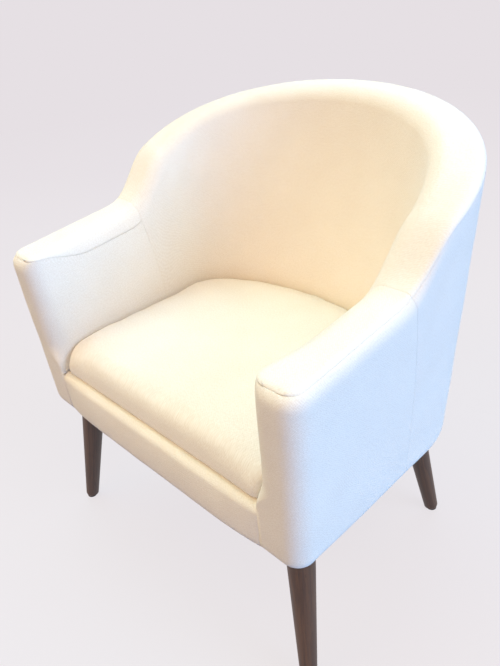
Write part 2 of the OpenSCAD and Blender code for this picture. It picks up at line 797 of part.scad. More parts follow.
// Springs: flat zigzags of wire that run front to back, held in clips on the rails
function rail_y(x, lo, hi, n) = let (
    s = (lo + hi) / 2,
    p = face(s, (frame_in + frame_out) / 2, rail_top)
) n == 0 ? p[1] : p[0] > x ? rail_y(x, s, hi, n - 1) : rail_y(x, lo, s, n - 1);
function spring_start() = face((frame_front_s + front_rail_in_s) / 2, 0, rail_top)[1];
function spring_end(x) = rail_y(abs(x) + bend_bar / 2, 0, mid_s, 24);

// Angles round each bend, and round the wire
bend_turns = [-90, -30, 30, 90];
wire_turns = [0, 72, 144, 216, 288];
// One ring of the wire at a point of its path, across the level direction dir
function wire_ring(at, dir) = [for (b = wire_turns) [
    at[0] + wire_d / 2 * cos(b) * dir[0],
    at[1] + wire_d / 2 * cos(b) * dir[1],
    wire_z + wire_d / 2 * sin(b)
]];

module spring(x) {
    y0 = spring_start();
    n = 2 * round((spring_end(x) - y0) / bend_step / 2);
    step = (spring_end(x) - y0) / n;
    color("lightslategray") loft(concat(
        [wire_ring([x - bend_bar / 2, y0], [0, -1])],
        [for (i = [0:n - 1], a = bend_turns) let (side = i % 2 == 0 ? 1 : -1) wire_ring([
            x + side * (bend_bar / 2 + step / 2 * cos(a)),
            y0 + (i + 0.5 + sin(a) / 2) * step
        ], [cos(a), side * sin(a)])],
        [wire_ring([x + bend_bar / 2, y0 + n * step], [0, -1])]
    ));
}

module clip(x, y, way) {
    room = wire_d + gap;
    translate([x, y, rail_top]) {
        translate([-clip_w / 2, -clip_run / 2, 0]) cube([clip_w, clip_run, clip_t]);
        translate([-clip_w / 2, way * (clip_run / 2 - clip_t / 2) - clip_t / 2, 0])
            cube([clip_w, clip_t, 2 * clip_t + room]);
        translate([-clip_w / 2, -clip_run / 2, clip_t + room]) cube([clip_w, clip_run, clip_t]);
    }
}

module spring_clips() {
    color("silver") for (side = [-1, 1], x = [inner_spring_x, outer_spring_x]) {
        clip(side * x, spring_start(), -1);
        clip(side * (x + (bend_bar - clip_w) / 2), spring_end(x), 1);
    }
}

// Legs: each axis runs from a top point under the body out to a foot on the floor
function leg_tilt() = atan(norm([splay, splay]) / leg_top_z);
function leg_s(back) = back ? back_leg_s : front_leg_s;
module on_leg(back) {
    at = face(leg_s(back), leg_in, base_h);
    translate([at[0], at[1], leg_top_z]) rotate([0, 0, back ? 45 : -45])
        rotate([0, -leg_tilt(), 0]) children();
}

module each_leg() {
    for (back = [false, true]) {
        right_side() on_leg(back) children();
        left_side() on_leg(back) children();
    }
}

module leg(back) {
    long = leg_top_z / cos(leg_tilt());
    at = face(leg_s(back), leg_in, base_h);
    out = back ? 1 : -1;
    color("saddlebrown") difference() {
        on_leg(back) rotate_extrude() polygon(concat(
            [[0, over + leg_top_d / 4], [leg_top_d / 2, over + leg_top_d / 4],
                [leg_top_d / 2, 0]],
            [for (a = [0:15:90]) [
                leg_foot_d / 2 - foot_r * (1 - cos(a)),
                -long + glide_t + foot_r * (2 - sin(a))
            ]],
            [[leg_foot_d / 2 - foot_r, -long - over], [0, -long - over]]
        ));
        translate([0, 0, leg_top_z + body_w / 2]) cube([body_w, 2 * body_w, body_w], center = true);
        translate([0, 0, glide_t - body_w / 2]) cube([body_w * 2, 2 * body_w, body_w], center = true);
        on_leg(back) translate([0, 0, -bolt_in_leg - over])
            cylinder(h = bolt_in_leg + over + leg_top_d, d = bolt_d + 2 * fit);
        translate([at[0] + splay, at[1] + out * splay, 0])
            cylinder(h = glide_t + nail_run + over, d = nail_d + 2 * fit);
    }
}

module glide(back) {
    at = face(leg_s(back), leg_in, base_h);
    out = back ? 1 : -1;
    color("dimgray") translate([at[0] + splay, at[1] + out * splay, 0]) {
        cylinder(h = glide_t, d = glide_d);
        cylinder(h = glide_t + nail_run, d = nail_d);
    }
}

module leg_bolts() {
    color("silver") each_leg() translate([0, 0, -bolt_in_leg])
        cylinder(h = bolt_in_leg + bolt_up, d = bolt_d);
}

insert_low = (block_low - leg_top_z) / cos(leg_tilt()) + over;
module threaded_inserts() {
    color("goldenrod") each_leg() difference() {
        translate([0, 0, insert_low]) cylinder(h = insert_run, d = insert_d);
        translate([0, 0, insert_low - over])
            cylinder(h = insert_run + 2 * over, d = bolt_d + 2 * fit);
    }
}

module block_bore(back) {
    on_leg(back) cylinder(h = bolt_up + 2 * block_h, d = bolt_d + 4 * gap);
    on_leg(back) cylinder(h = insert_low + insert_run + gap, d = insert_d + 2 * fit);
}

module front_block() {
    function corner(z) = let (
        a = face(front_rail_in_s + gap, frame_out + gap, z),
        b = face(front_rail_in_s + gap + block_run, frame_out + gap, z)
    ) [a, b, [b[0] - block_run / 4, b[1], z], [a[0] - block_run, a[1] + block_run / 4, z],
        [a[0] - block_run, a[1], z]];
    color("wheat") difference() {
        loft([corner(block_low), corner(block_low + block_h)]);
        block_bore(false);
    }
}

module back_block() {
    ss = [for (t = back_block_shares) station(t, 1)];
    color("wheat") difference() {
        bar(ss, frame_out + gap, frame_out + block_run / 2, level(ss, block_low),
            level(ss, block_low + block_h));
        block_bore(true);
    }
}

inside_back_cover();
outside_back_cover();
left_side() arm_cover();  // left_arm_cover
arm_cover();  // right_arm_cover
left_side() arm_cap();  // left_arm_cap
arm_cap();  // right_arm_cap
front_band_cover();
dust_cover();
cushion_cover();
cushion_base();
cushion_core();
inside_back_foam();
outside_back_padding();
back_top_pad();
left_side() arm_foam();  // left_arm_foam
arm_foam();  // right_arm_foam
left_side() arm_top_pad();  // left_arm_top_pad
arm_top_pad();  // right_arm_top_pad
front_band_padding();
seat_felt_pad();
seat_deck_cloth();
front_seat_rail();
left_side() side_rail();  // left_seat_rail
side_rail();  // right_seat_rail
back_seat_rail();
left_side() front_block();  // front_left_block
front_block();  // front_right_block
left_side() back_block();  // back_left_block
back_block();  // back_right_block
left_side() front_post();  // left_front_post
front_post();  // right_front_post
left_side() back_post(side_post_shares);  // left_side_post
back_post(side_post_shares);  // right_side_post
left_side() back_post(rear_post_shares);  // left_rear_post
back_post(rear_post_shares);  // right_rear_post
centre_back_post();
left_side() arm_rail();  // left_arm_rail
arm_rail();  // right_arm_rail
top_back_rail();
left_side() arm_board();  // left_arm_board
arm_board();  // right_arm_board
inside_back_board();
frame_dowels();
spring(-outer_spring_x);  // left_outer_spring
spring(-inner_spring_x);  // left_inner_spring
spring(inner_spring_x);  // right_inner_spring
spring(outer_spring_x);  // right_outer_spring
spring_clips();
left_side() leg(false);  // front_left_leg
leg(false);  // front_right_leg
left_side() leg(true);  // back_left_leg
leg(true);  // back_right_leg
left_side() glide(false);  // front_left_glide
glide(false);  // front_right_glide
left_side() glide(true);  // back_left_glide
glide(true);  // back_right_glide
leg_bolts();
threaded_inserts();
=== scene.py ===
import math

import bpy
import numpy as np
from mathutils import Matrix, Vector, noise
from mathutils.bvhtree import BVHTree


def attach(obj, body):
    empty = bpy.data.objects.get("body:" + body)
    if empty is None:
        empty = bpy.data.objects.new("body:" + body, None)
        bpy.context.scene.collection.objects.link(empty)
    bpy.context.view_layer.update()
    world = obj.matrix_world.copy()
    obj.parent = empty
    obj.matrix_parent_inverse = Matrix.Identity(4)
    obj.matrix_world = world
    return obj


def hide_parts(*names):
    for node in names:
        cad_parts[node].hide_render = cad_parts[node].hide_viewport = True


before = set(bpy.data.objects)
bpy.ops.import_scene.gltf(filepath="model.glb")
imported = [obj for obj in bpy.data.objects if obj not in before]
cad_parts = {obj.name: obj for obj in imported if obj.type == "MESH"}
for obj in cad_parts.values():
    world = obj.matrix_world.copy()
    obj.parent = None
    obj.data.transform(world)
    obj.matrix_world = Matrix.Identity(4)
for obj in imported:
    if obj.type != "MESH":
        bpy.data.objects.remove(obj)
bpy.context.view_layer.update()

# Inside back: one cream woven panel, pulled over foam on the seat side of the back and over its
# rolled top edge. It is sewn to the outside back along the outer edge of the top and to the arm
# covers down both sides. The curved plan that every cover follows is worked out here, in mm.
HALF_WIDTH, ARM_RUN, BACK_RUN, CURVE_Y = 345, 305, 254, 31.84
ARM_TOP, ARM_RISE, BACK_TOP, SHOULDER_TOP = 601, 30, 803, 711
DECK_TOP, CUSHION_EDGE, CORNER_ROUND = 368, 427, 32
ARM_THICK_HIGH, ARM_THICK_LOW, BACK_THICK_HIGH, BACK_THICK_LOW = 82, 80, 76, 116
SIDE_LEAN, BACK_LEAN, FRONT_LEAN, TOE_OUT = 0.052, 0.099, 0.025, 5
SWEEP_START, SWEEP_END, NOSE_RUN, ROLL_END = -127, 7, 140, 141
MIDDLE = (HALF_WIDTH + BACK_RUN) / 2 * math.pi / 2
ARM_FRONT = -(ARM_RUN + CORNER_ROUND)
SEAM_TOP, SEAM_LOW, SEAM_GAP = 92, 72, 0.1
SEAM_IN, ARM_SEAM_DROP, BACK_SEAM_DROP, ARM_SEAM_WIDE, BACK_SEAM_WIDE = 9, 4.5, 12, 9, 18


def between(a, b, t):
    return a + (b - a) * t


def part(x, a, b):
    """Share of the way from a to b, kept from 0 to 1."""
    return np.clip((x - a) / (b - a), 0, 1)


def ease(t):
    return t**3 * (t * (6 * t - 15) + 10)


def wall_turn(s):
    return math.pi / 2 * np.maximum(0, s) / MIDDLE


def outward(s):
    across, back = BACK_RUN * np.cos(wall_turn(s)), HALF_WIDTH * np.sin(wall_turn(s))
    size = np.hypot(across, back)
    return across / size, back / size


def wall_spot(s, depth, z):
    """Point of the body: s mm round its outer face from where the back starts to curve, depth mm in."""
    s, depth, z = np.broadcast_arrays(*(np.asarray(v, float) for v in (s, depth, z)))
    nx, ny = outward(s)
    up = z - ARM_TOP
    reach = up * between(SIDE_LEAN, BACK_LEAN, ny**2) - depth
    ahead = np.maximum(0, -s) / ARM_RUN
    x = HALF_WIDTH * np.cos(wall_turn(s)) + TOE_OUT * ahead + nx * reach
    y = CURVE_Y + np.minimum(0, s) + BACK_RUN * np.sin(wall_turn(s)) + ny * reach
    return np.stack([x, y - np.minimum(ahead, 1) * up * FRONT_LEAN, z], -1)


def swept(s):
    """How far the top edge has swept up from the arm to the back, from 0 to 1."""
    return ease(part(s, SWEEP_START, SWEEP_END))


def top_height(s):
    arm = ARM_TOP + ARM_RISE * (s + ARM_RUN) / ARM_RUN
    back = BACK_TOP - (BACK_TOP - SHOULDER_TOP) * (1 - s / MIDDLE) ** 2
    return between(arm, back, swept(s))


def wall_thickness(s, z):
    rear = outward(s)[1] ** 2
    down = np.clip((top_height(s) - z) / (top_height(s) - CUSHION_EDGE), 0, 1.2)
    high = between(ARM_THICK_HIGH, BACK_THICK_HIGH, rear)
    return between(high, between(ARM_THICK_LOW, BACK_THICK_LOW, rear), down)


def roll_size(s, nose, arm, back):
    """A size of the rounding on the seat side of the top edge, which changes from the arm's nose to the back."""
    on_arm = between(nose, arm, ease(part(s, ARM_FRONT, ARM_FRONT + NOSE_RUN)))
    return between(on_arm, back, ease(part(s, SWEEP_START, ROLL_END)))


def roll_wide(s):
    return roll_size(s, 13, 34, 28)


def roll_high(s):
    return roll_size(s, 5, 34, 26)


def seam_inset(s):
    """How far in the outer top seam lies: over the edge on the arms, and on the outer face at the back."""
    return SEAM_IN * (1 - swept(s))


def seam_drop(s):
    return between(ARM_SEAM_DROP, BACK_SEAM_DROP, swept(s))


def corner_close(s):
    """How far the top closes in from each side as it rounds the arm's front corners."""
    size = CORNER_ROUND - SEAM_IN
    x = np.clip(s - ARM_FRONT - SEAM_IN, 0, size)
    return size - np.sqrt(size**2 - (size - x) ** 2)


def top_outer(s):
    return seam_inset(s) + corner_close(s)


def top_inner(s):
    return wall_thickness(s, top_height(s) - roll_high(s)) - corner_close(s)


def quarter(t, wide, high):
    """Drop toward an edge that is rounded over in a quarter turn."""
    return high * (1 - np.sqrt(1 - (1 - np.clip(t / wide, 0, 1)) ** 2))


def bevel(t, wide, high):
    """Drop toward an edge that the next panel meets at 45 degrees."""
    return high * (1 - np.clip(t / wide, 0, 1)) ** 2


def top_spot(s, depth):
    t = depth - top_outer(s)
    outer = between(bevel(t, ARM_SEAM_WIDE, seam_drop(s)), quarter(t, BACK_SEAM_WIDE, seam_drop(s)), swept(s))
    drop = np.maximum(outer, quarter(top_inner(s) - depth, roll_wide(s), roll_high(s)))
    drop = np.maximum(drop, bevel(s - ARM_FRONT - SEAM_IN, ARM_SEAM_WIDE, ARM_SEAM_DROP))
    return wall_spot(s, depth, top_height(s) - drop)


def seam_station(share):
    """Where the side seams stand: they curve forward toward the top of the wall."""
    return -between(SEAM_LOW, SEAM_TOP, part(share, 0.15, 1) ** 2)


BESIDE_SEAM = np.array([0, 0.7, 1.6, 2.8, 4.4, 6.5, 9.5])


def steps(length, wide, seam_first=False, seam_last=False):
    """Distances from 0 to length, closer together beside a seam."""
    first = BESIDE_SEAM if seam_first else BESIDE_SEAM[:1]
    last = length - BESIDE_SEAM[::-1] if seam_last else np.array([length])
    count = max(2, round((last[0] - first[-1]) / wide) + 1)
    return np.concatenate([first, np.linspace(first[-1], last[0], count)[1:-1], last])


def rumple(spots, size, seed=0):
    """Smooth random waves of that size in mm, from about -1 to 1."""
    flat = spots.reshape(-1, 3) / size + seed
    return np.array([noise.noise(Vector(p)) for p in flat]).reshape(spots.shape[:-1])


def keep_run(mesh, run):
    """Keeps each point's place on the flat cloth, in metres, for the weave."""
    kept = mesh.attributes.new("cloth_run", "FLOAT_VECTOR", "POINT")
    kept.data.foreach_set("vector", run.astype(np.float32).ravel())


def mesh_piece(name, points, faces, run, material):
    """A smooth mesh from points in mm."""
    mesh = bpy.data.meshes.new(name)
    mesh.from_pydata((points / 1000).tolist(), [], faces)
    keep_run(mesh, run / 1000)
    mesh.shade_smooth()
    mesh.materials.append(material)
    piece = bpy.data.objects.new(name, mesh)
    bpy.context.scene.collection.objects.link(piece)
    return piece


BROAD_WAVE, SMALL_WAVE, PUCKER, PUCKER_LIFT = 85, 32, 7, 0.28
SEAM_PULL, SEAM_DIP_WIDE, TURNED_IN = 40, 5, 0.004


def sewn_panel(name, spots, sewn, side=1, cut=None, soft=0.9, dip=0.45):
    """A padded panel from rows of points in mm, which dips and puckers along its sewn edges and is turned in."""
    rows, columns = spots.shape[:2]
    down = np.vstack([np.zeros(columns), np.cumsum(np.linalg.norm(np.diff(spots, axis=0), axis=2), 0)])
    over = np.hstack([np.zeros((rows, 1)), np.cumsum(np.linalg.norm(np.diff(spots, axis=1), axis=2), 1)])
    out = np.cross(np.gradient(spots, axis=0), np.gradient(spots, axis=1)) * side
    out /= np.maximum(np.linalg.norm(out, axis=2, keepdims=True), 1e-9)
    away = {"first row": down, "last row": down[-1] - down,
            "first column": over, "last column": over[:, -1:] - over}
    lift = soft * (rumple(spots, BROAD_WAVE) + 0.35 * rumple(spots, SMALL_WAVE, seed=7))
    near = np.min([away[edge] for edge in sewn], 0)
    lift *= part(near, 0, SEAM_PULL)
    lift += PUCKER_LIFT * rumple(spots, PUCKER, seed=3) * np.exp(-near / PUCKER)
    for edge in sewn:
        lift -= bevel(away[edge], SEAM_DIP_WIDE, dip)
    middle = over - over[:, columns // 2][:, None]
    made = spots + out * lift[..., None]
    at = np.arange(rows * columns).reshape(rows, columns)
    corners = np.stack([at[:-1, :-1], at[1:, :-1], at[1:, 1:], at[:-1, 1:]], -1)
    kept = np.ones(corners.shape[:2], bool) if cut is None else ~cut
    quads = corners[kept][:, ::side].tolist()
    run = np.stack([middle, down, np.zeros_like(down)], -1)
    piece = mesh_piece(name, made.reshape(-1, 3), quads, run.reshape(-1, 3), cream_cloth)
    turned = piece.modifiers.new("turned in cloth", "SOLIDIFY")
    turned.thickness, turned.offset = TURNED_IN, -1
    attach(piece, "chair")
    return piece


def linear(code):
    """A colour written as six sRGB hex digits, as Blender's linear colour."""
    parts = [int(code[i:i + 2], 16) / 255 for i in (0, 2, 4)]
    return [p / 12.92 if p <= 0.04045 else ((p + 0.055) / 1.055) ** 2.4 for p in parts] + [1]


def add(tree, kind, settings, inputs):
    """Adds one shader node, sets its settings, and sets or links its inputs."""
    made = tree.nodes.new("ShaderNode" + kind)
    for name, value in settings.items():
        setattr(made, name, value)
    for socket, value in inputs.items():
        if isinstance(value, bpy.types.NodeSocket):
            tree.links.new(value, made.inputs[socket])
        else:
            made.inputs[socket].default_value = value
    return made


def new_material(name):
    made = bpy.data.materials.new(name)
    made.use_nodes = True
    made.node_tree.nodes.clear()
    return made, made.node_tree


# Wool and viscose upholstery cloth in a plain weave of soft thick yarn, undyed cream. To the eye
# it is matt with a faint halo at the edges, a fine broken grain, and slubs where the yarn thickens.
# The real threads are 0.9 mm apart, and are drawn 1.8 mm apart so that they show.
def woven_cloth(name, yarn, shade, thread, sheen):
    made, tree = new_material(name)
    run = add(tree, "Attribute", {"attribute_name": "cloth_run"}, {}).outputs["Vector"]
    wander = add(tree, "TexNoise", {}, {"Vector": run, "Scale": 140, "Detail": 3})
    bent = add(tree, "VectorMath", {"operation": "MULTIPLY_ADD"},
               {0: wander.outputs["Color"], 1: (thread * 2.6,) * 3, 2: run})
    axes = add(tree, "SeparateXYZ", {}, {0: bent.outputs[0]})
    threads = []
    for axis in (0, 1):
        scaled = add(tree, "Math", {"operation": "MULTIPLY"}, {0: axes.outputs[axis], 1: math.pi / thread})
        threads.append(add(tree, "Math", {"operation": "SINE"}, {0: scaled.outputs[0]}).outputs[0])
    knots = add(tree, "Math", {"operation": "MULTIPLY"}, {0: threads[0], 1: threads[1]})
    slub = add(tree, "TexNoise", {}, {"Vector": run, "Scale": 0.6 / thread, "Detail": 5, "Roughness": 0.7})
    height = add(tree, "Math", {"operation": "MULTIPLY_ADD"}, {0: knots.outputs[0], 1: 0.13, 2: slub.outputs[0]})
    bump = add(tree, "Bump", {}, {"Strength": 0.75, "Distance": thread * 0.5, "Height": height.outputs[0]})
    broad = add(tree, "TexNoise", {}, {"Vector": run, "Scale": 14, "Detail": 3})
    tone = add(tree, "Math", {"operation": "MULTIPLY_ADD"}, {0: broad.outputs[0], 1: 0.22, 2: height.outputs[0]})
    fade = add(tree, "MapRange", {}, {0: tone.outputs[0], 1: 0.25, 2: 0.9})
    colour = add(tree, "Mix", {"data_type": "RGBA"}, {0: fade.outputs[0], 6: linear(shade), 7: linear(yarn)})
    skin = add(tree, "BsdfPrincipled", {}, {
        "Base Color": colour.outputs[2], "Roughness": 0.92, "Specular IOR Level": 0.2,
        "Sheen Weight": sheen, "Sheen Roughness": 0.5, "Normal": bump.outputs[0]})
    add(tree, "OutputMaterial", {}, {"Surface": skin.outputs[0]})
    return made


cream_cloth = woven_cloth("cream_woven_wool", "F8F4ED", "E2D9CC", 0.0018, 0.25)

# The columns run from the left side seam round the middle of the back to the right side seam.
from_middle = steps(MIDDLE + SEAM_TOP, 6.5, seam_last=True)
from_middle = np.concatenate([-from_middle[:0:-1], from_middle])
back_sides = np.sign(from_middle) + (from_middle == 0)
from_middle = np.abs(from_middle)


def back_station(share):
    """Stations of the back's columns, which ahead of the curve follow the side seam."""
    past = (from_middle - MIDDLE) / SEAM_TOP
    return np.where(past > 0, past * seam_station(share), MIDDLE - from_middle)


across_top = 0.5 - 0.5 * np.cos(np.linspace(0, math.pi, 30))
mirror = np.stack([back_sides, np.ones_like(back_sides), np.ones_like(back_sides)], -1)
top_s = back_station(1)
inside_rows = [top_spot(top_s, between(top_outer(top_s), top_inner(top_s), share)) * mirror
               for share in across_top]
for share in np.linspace(1, 0, 64)[1:]:
    z = between(DECK_TOP, top_height(top_s) - roll_high(top_s), share)
    s = back_station(share)
    inside_rows.append(wall_spot(s, wall_thickness(s, z), z) * mirror)
inside_back = sewn_panel("inside_back_upholstery", np.array(inside_rows),
                         ["first row", "first column", "last column"])
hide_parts("inside_back_cover", "inside_back_foam", "back_top_pad")

# Outside back: a separate panel of the same cloth over thin wadding, sewn under the outer edge of
# the top, joined to the arm covers down both sides, and turned under the body, where it is stapled.
UNDERSIDE, UNDER_ROUND, LEAN_HIGH = 268, 32, 18
under_turns = np.radians(np.linspace(0, 90, 10))
foot_depth = UNDER_ROUND * (1 - np.sin(under_turns))
foot_height = UNDERSIDE + UNDER_ROUND * (1 - np.cos(under_turns))
foot_rows = [(40, UNDERSIDE), (36, UNDERSIDE)] + list(zip(foot_depth, foot_height))


def lean_in(s, z, seam_z):
    """How far a cover leans in just below its top seam."""
    return seam_inset(s) * part(z, seam_z - LEAN_HIGH, seam_z) ** 2


outside_rows = [wall_spot(back_station(0), depth, z) * mirror for depth, z in foot_rows]
seam_z = top_height(top_s) - seam_drop(top_s) - SEAM_GAP
for share in 1 - steps(1000, 14, seam_first=True)[-2::-1] / 1000:
    z = between(foot_height[-1], seam_z, share)
    s = back_station(part(z, DECK_TOP, seam_z))
    outside_rows.append(wall_spot(s, lean_in(s, z, seam_z), z) * mirror)
outside_back = sewn_panel("outside_back_upholstery", np.array(outside_rows),
                          ["last row", "first column", "last column"])
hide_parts("outside_back_cover", "outside_back_padding")

# Arm covers: each is one panel that starts at the side seam, runs forward along the outside, turns
# round the front of the arm and back along the inside. It is sewn to the arm's top panel all round,
# and stapled under the body outside and over the seat rail inside.
ARM_SIDE, ARM_HIGH, INNER_EDGE, EDGE_GROWS = 210, 233, 1.2, 62
along_arm = np.sort(np.concatenate([steps(1, 0.035)[:-1], 1 - BESIDE_SEAM / ARM_SIDE]))
corner_turns = np.linspace(0, 90, 10)
arm_columns = ([("outer", v) for v in along_arm[::-1]] + [("outer corner", a) for a in corner_turns[1:]]
               + [("front", v) for v in np.linspace(0, 1, 8)[1:-1]]
               + [("inner corner", a) for a in corner_turns] + [("inner", v) for v in along_arm[1:]])
inner_start = next(i for i, c in enumerate(arm_columns) if c[0] == "inner corner")
arm_share = 1 - steps(ARM_HIGH, 7, seam_first=True)[::-1] / ARM_HIGH


def arm_plan(kind, v, inset, outer_round, inner_round, deep, share):
    """Station and depth of one column of an arm cover."""
    if kind == "outer":
        return between(ARM_FRONT + inset + outer_round, seam_station(share) - SEAM_GAP, v), inset
    if kind == "outer corner":
        a = math.radians(v)
        return ARM_FRONT + inset + outer_round * (1 - math.sin(a)), inset + outer_round * (1 - math.cos(a))
    if kind == "front":
        return ARM_FRONT + inset, between(inset + outer_round, deep - inner_round, v)
    if kind == "inner corner":
        a = math.radians(v)
        return ARM_FRONT + inset + inner_round * (1 - math.cos(a)), deep - inner_round * (1 - math.sin(a))
    return between(ARM_FRONT + inset + inner_round, seam_station(share) - SEAM_GAP, v), deep


def arm_column(kind, v):
    """One column of an arm cover, from its hem to its top seam, with a square inner edge below the deck."""
    spots = []
    for inset, z in foot_rows:
        deep = wall_thickness(ARM_FRONT, z)
        s, depth = arm_plan(kind, v, inset, max(CORNER_ROUND - inset, 1.5), INNER_EDGE, deep, 0)
        spots.append(wall_spot(s, depth, z))
    s = arm_plan(kind, v, SEAM_IN, CORNER_ROUND - SEAM_IN, CORNER_ROUND - SEAM_IN, 0, 1)[0]
    if kind in ("outer", "outer corner"):
        edge = top_outer(s)
    elif kind == "front":
        edge = between(top_outer(s), top_inner(s), v)
    else:
        edge = top_inner(s)
    seam_z = top_spot(s, edge)[2] - SEAM_GAP
    for share in arm_share:
        z = between(DECK_TOP, seam_z, share)
        lean = lean_in(s, z, seam_z)
        inner_round = between(INNER_EDGE, CORNER_ROUND - lean, ease(part(z, DECK_TOP, DECK_TOP + EDGE_GROWS)))
        s = arm_plan(kind, v, lean, CORNER_ROUND - lean, inner_round, 0, share)[0]
        s, depth = arm_plan(kind, v, lean, CORNER_ROUND - lean, inner_round, wall_thickness(s, z), share)
        spots.append(wall_spot(s, depth, z))
    return spots


arm_spots = np.array([arm_column(kind, v) for kind, v in arm_columns]).transpose(1, 0, 2)
below_deck = np.zeros((arm_spots.shape[0] - 1, arm_spots.shape[1] - 1), bool)
below_deck[:len(foot_rows), inner_start:] = True
for name, side in (("right", 1), ("left", -1)):
    arm = sewn_panel(name + "_arm_upholstery", arm_spots * [side, 1, 1],
                     ["last row", "first column", "last column"], side=side, cut=below_deck)
    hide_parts(name + "_arm_cover", name + "_arm_foam")

# Arm tops: a narrow panel on each arm, cut to the arm's plan and rounded over at its front. It is
# sewn to the arm cover round three sides and mitred into the back's panel where the arm sweeps up.
nose = SEAM_IN + (CORNER_ROUND - SEAM_IN) * (1 - np.cos(np.radians(np.linspace(0, 90, 16))))
straight = CORNER_ROUND + steps(ARM_RUN - SEAM_TOP - SEAM_GAP, 6, seam_last=True)[1:]
arm_top_s = ARM_FRONT + np.concatenate([nose, straight])
for name, side in (("right", 1), ("left", -1)):
    rows = [top_spot(arm_top_s, between(top_outer(arm_top_s), top_inner(arm_top_s), share))
            for share in across_top]
    cap = sewn_panel(name + "_arm_top_upholstery", np.array(rows) * [side, 1, 1],
                     ["first row", "last row", "first column", "last column"], side=-side, soft=0.5)
    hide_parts(name + "_arm_cap", name + "_arm_top_pad")

# Front band: the padded roll under the cushion, between the arms. Its cloth is stapled under the
# front rail, pulled up over foam, and tucked back over the rail to the seat deck. Its ends go behind
# the arm covers.
BAND_ROUND, BAND_BULGE, BAND_TUCK = 13, 8.5, 3
band_rows = foot_rows + [(0, z) for z in np.linspace(foot_height[-1], DECK_TOP - BAND_ROUND, 10)[1:-1]]
band_turns = np.radians(np.linspace(0, 90, 8))
band_rows += [(BAND_ROUND * (1 - math.cos(a)), DECK_TOP - BAND_ROUND * (1 - math.sin(a))) for a in band_turns]
band_rows += [(back, DECK_TOP - 0.3) for back in (20, 30, 46)]
end_steps = np.array([0, 0.003, 0.007, 0.012, 0.018])
across_band = np.concatenate([end_steps, steps(2, 0.03)[1:-1], 2 - end_steps[::-1]]) - 1
band_spots = []
for inset, z in band_rows:
    end = wall_spot(ARM_FRONT + inset, wall_thickness(ARM_FRONT, z) - BAND_TUCK, z)
    bulge = BAND_BULGE * math.sin(math.pi * part(z, UNDERSIDE - 16, DECK_TOP)) ** 0.8
    y = end[1] - bulge * (1 - across_band**6)
    band_spots.append(np.stack([across_band * (end[0] - 0.3), y, np.full_like(across_band, z)], -1))
band = sewn_panel("front_band_upholstery", np.array(band_spots), ["first column", "last column"],
                  side=-1, dip=1.2)
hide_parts("front_band_cover", "front_band_padding")

# Seat cushion: a loose cushion cut to the plan of the walls, of the same cloth over a foam core
# wrapped in wadding. Its top is crowned and rolls over the front, and its sides pull in to the base.
CUSHION_BASE, CROWN, CLEAR, CUSHION_SET, CUSHION_CORNER = 368.6, 16, 1, 5, 14
WATERFALL, ROLL_SHARE, DRAW, CORNER_DROP = 44, 0.62, 5, 0.24
STUFFING, PINNED, SWELL = 4, 0.0006, 0.0085


def cushion_ring(inset, z, front_in):
    """One level of the cushion: its outline there, drawn in at the walls and set back at the front."""
    start = ARM_FRONT + CUSHION_SET + front_in
    a = np.radians(np.linspace(0, 90, 9))
    s = start + CUSHION_CORNER * (1 - np.cos(a))
    corner = wall_spot(s, wall_thickness(s, z) + CLEAR + inset + CUSHION_CORNER * (1 - np.sin(a)), z)
    s = np.linspace(start + CUSHION_CORNER, MIDDLE, 60)[1:]
    side = wall_spot(s, wall_thickness(s, z) + CLEAR + inset, z)
    front = np.linspace([0, corner[0][1], z], corner[0], 20)[:-1]
    half = np.concatenate([front, corner, side])
    return np.concatenate([half, half[-2:0:-1] * [-1, 1, 1]])


def crown_ring(share):
    """One ring of the crowned top, at that share of the way out from its middle."""
    ring = cushion_ring(0, CUSHION_EDGE, WATERFALL)
    z = CUSHION_EDGE + CROWN * (1 - share**2)
    middle_y = (ring[0][1] + wall_spot(MIDDLE, BACK_THICK_LOW, z)[1]) / 2
    return np.stack([ring[:, 0] * share, between(middle_y, ring[:, 1], share), np.full(len(ring), z)], -1)


def cushion_shape():
    """The cushion before it is stuffed: its crown, its sides from the top down, and its flat base."""
    rings = [crown_ring(share) for share in np.linspace(0.05, 0.97, 24)]
    up = np.array([0, 0.06, 0.2, 0.5, 0.72, 0.87, 1])
    for share in 1 - np.linspace(0, 1, 20) ** 1.5:
        draw = DRAW * np.interp(share, up, [1, 0.4, 0, 0, 0.05, 0.12, 0.25])
        front_in = np.interp(share, [0, 0.06, 0.2], [5, 2, 0]) + quarter(1 - share, ROLL_SHARE, WATERFALL)
        rings.append(cushion_ring(draw, between(CUSHION_BASE, CUSHION_EDGE, share), front_in))
    rings += [rings[-1] * [t, t, 1] for t in (0.75, 0.5, 0.25, 0.08)]
    rings = np.array(rings)
    ahead = (1 - part(rings[..., 1] - rings[..., 1].min(), 0, 110)) ** 2
    corner = ahead * part(np.abs(rings[..., 0]), 110, 250) ** 2
    rings[..., 2] -= CORNER_DROP * corner * (rings[..., 2] - CUSHION_BASE)
    return rings


def closed_form(name, rings, material):
    """A closed mesh through rings of points, with a fan at each end."""
    count, around = rings.shape[:2]
    at = np.arange(count * around).reshape(count, around)
    turned = np.roll(at, -1, 1)
    faces = np.stack([at[:-1], turned[:-1], turned[1:], at[1:]], -1).reshape(-1, 4).tolist()
    faces += [[count * around, b, a] for a, b in zip(at[0], turned[0])]
    faces += [[count * around + 1, a, b] for a, b in zip(at[-1], turned[-1])]
    points = np.concatenate([rings.reshape(-1, 3), rings[[0, -1]].mean(1)])
    return mesh_piece(name, points, faces, points, material)


cushion = closed_form("seat_cushion_upholstery", cushion_shape(), cream_cloth)


def points_of(piece):
    """The piece's points in metres."""
    co = np.zeros(len(piece.data.vertices) * 3, np.float32)
    piece.data.vertices.foreach_get("co", co)
    return co.reshape(-1, 3).astype(float)


